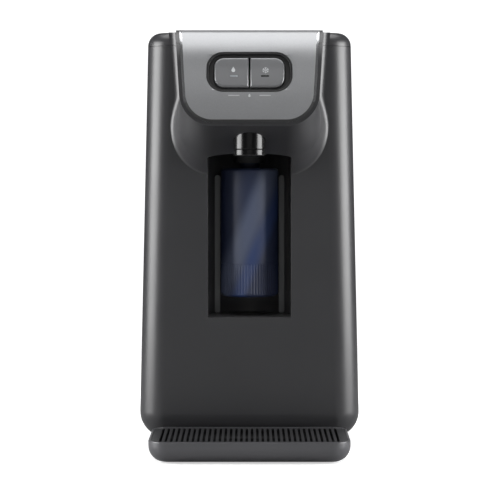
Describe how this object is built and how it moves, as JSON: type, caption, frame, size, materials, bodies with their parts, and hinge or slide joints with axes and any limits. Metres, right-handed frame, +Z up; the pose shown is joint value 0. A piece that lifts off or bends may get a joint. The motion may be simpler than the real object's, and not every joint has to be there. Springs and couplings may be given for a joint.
{
  "type": "countertop water purifier with cold water",
  "caption": "Countertop water purifier: tapered dark body, overhanging head with push buttons and spout, filter cartridge in a front niche, sliding drip tray with lift-out grille.",
  "frame": {"origin": "middle of the footprint, at counter level", "axes": "+Z up, -Y out of the front, +X to the right when facing the front"},
  "size_m": [0.206, 0.37, 0.388],
  "materials": {
    "shell": "satin graphite injection-moulded ABS",
    "fascia": "silver-grey painted ABS, satin",
    "trim": "gloss black ABS",
    "button": "satin grey painted ABS",
    "light": "frosted clear polycarbonate",
    "cartridge": "blue film sleeve on moulded polypropylene",
    "matte": "fine matt black plastic",
    "rubber": "matt black elastomer",
    "white": "natural white acetal and polypropylene",
    "foam": "white expanded polystyrene",
    "aluminium": "extruded, bare",
    "steel": "stainless, drawn",
    "ceramic": "white alumina plates",
    "circuit": "green solder mask",
    "tubing": "translucent polyethylene"
  },
  "bodies": {
    "cabinet": {"front_housing": "shell", "rear_cover": "shell", "top_cover": "shell", "control_fascia": "fascia", "button_bezel": "trim", "button_board": "circuit", "natural_valve": "white", "cold_valve": "white", "spout_manifold": "white", "nozzle_body": "trim", "nozzle_tip": "trim", "filter_niche_liner": "trim", "filter_head": "white", "cold_tank": "steel", "tank_seal": "rubber", "tank_lid": "white", "tank_insulation_front": "foam", "tank_insulation_rear": "foam", "tank_cradle": "white", "cold_block": "aluminium", "thermoelectric_module": "ceramic", "heat_sink": "aluminium", "fan_frame": "matte", "base_plate": "matte", "foot_front_left": "rubber", "foot_front_right": "rubber", "foot_rear_left": "rubber", "foot_rear_right": "rubber", "power_supply": "matte", "control_board": "circuit", "inlet_fitting": "white", "drain_fitting": "white", "cord_gland": "rubber", "tube_natural": "tubing", "tube_cold": "tubing", "tube_to_tank": "tubing", "tube_inlet": "tubing", "tube_drain": "tubing", "rear_screw_lower_left": "steel", "rear_screw_lower_right": "steel", "rear_screw_upper_left": "steel", "rear_screw_upper_right": "steel"},
    "natural_button_set": {"natural_button": "button", "natural_light_guide": "light", "natural_button_spring": "steel"},
    "cold_button_set": {"cold_button": "button", "cold_light_guide": "light", "cold_button_spring": "steel"},
    "natural_plunger": {"natural_valve_plunger": "steel"},
    "cold_plunger": {"cold_valve_plunger": "steel"},
    "valve_core": {"filter_valve_core": "matte"},
    "cartridge": {"filter_cartridge": "cartridge", "filter_neck_seal": "rubber"},
    "tray": {"drip_tray": "shell"},
    "grille": {"drip_grille": "matte"},
    "fan": {"fan_rotor": "matte"},
    "plug": {"drain_plug": "rubber"},
    "collet": {"inlet_collet": "matte"}
  },
  "joints": [
    {"name": "natural_button_press", "type": "slide", "parent": "cabinet", "child": "natural_button_set", "axis": [0, 0.9358, -0.3524], "range_m": [0, 0.003], "stiffness_N_per_m": 600},
    {"name": "cold_button_press", "type": "slide", "parent": "cabinet", "child": "cold_button_set", "axis": [0, 0.9358, -0.3524], "range_m": [0, 0.003], "stiffness_N_per_m": 600},
    {"name": "natural_plunger_travel", "type": "slide", "parent": "cabinet", "child": "natural_plunger", "axis": [0, 0.9358, -0.3524], "range_m": [0, 0.003]},
    {"name": "cold_plunger_travel", "type": "slide", "parent": "cabinet", "child": "cold_plunger", "axis": [0, 0.9358, -0.3524], "range_m": [0, 0.003]},
    {"name": "filter_turn", "type": "hinge", "parent": "cabinet", "child": "valve_core", "pos_m": [0, -0.044, 0.27], "axis": [0, 0, 1], "range_deg": [0, 90]},
    {"name": "filter_pull", "type": "slide", "parent": "valve_core", "child": "cartridge", "axis": [0, 0, -1], "range_m": [0, 0.016]},
    {"name": "drip_tray_slide", "type": "slide", "parent": "cabinet", "child": "tray", "axis": [0, -1, 0], "range_m": [0, 0.1]},
    {"name": "drip_grille_lift", "type": "slide", "parent": "tray", "child": "grille", "axis": [0, 0, 1], "range_m": [0, 0.03]},
    {"name": "fan_spin", "type": "hinge", "parent": "cabinet", "child": "fan", "pos_m": [0, 0.16, 0.195], "axis": [0, 1, 0], "continuous": true},
    {"name": "drain_plug_pull", "type": "slide", "parent": "cabinet", "child": "plug", "axis": [0, 1, 0], "range_m": [0, 0.012]},
    {"name": "inlet_collet_push", "type": "slide", "parent": "cabinet", "child": "collet", "axis": [0, -1, 0], "range_m": [0, 0.0015], "stiffness_N_per_m": 800}
  ],
  "couplings": [
    {"joint": "natural_plunger_travel", "follows": "natural_button_press", "ratio": 1},
    {"joint": "cold_plunger_travel", "follows": "cold_button_press", "ratio": 1}
  ]
}
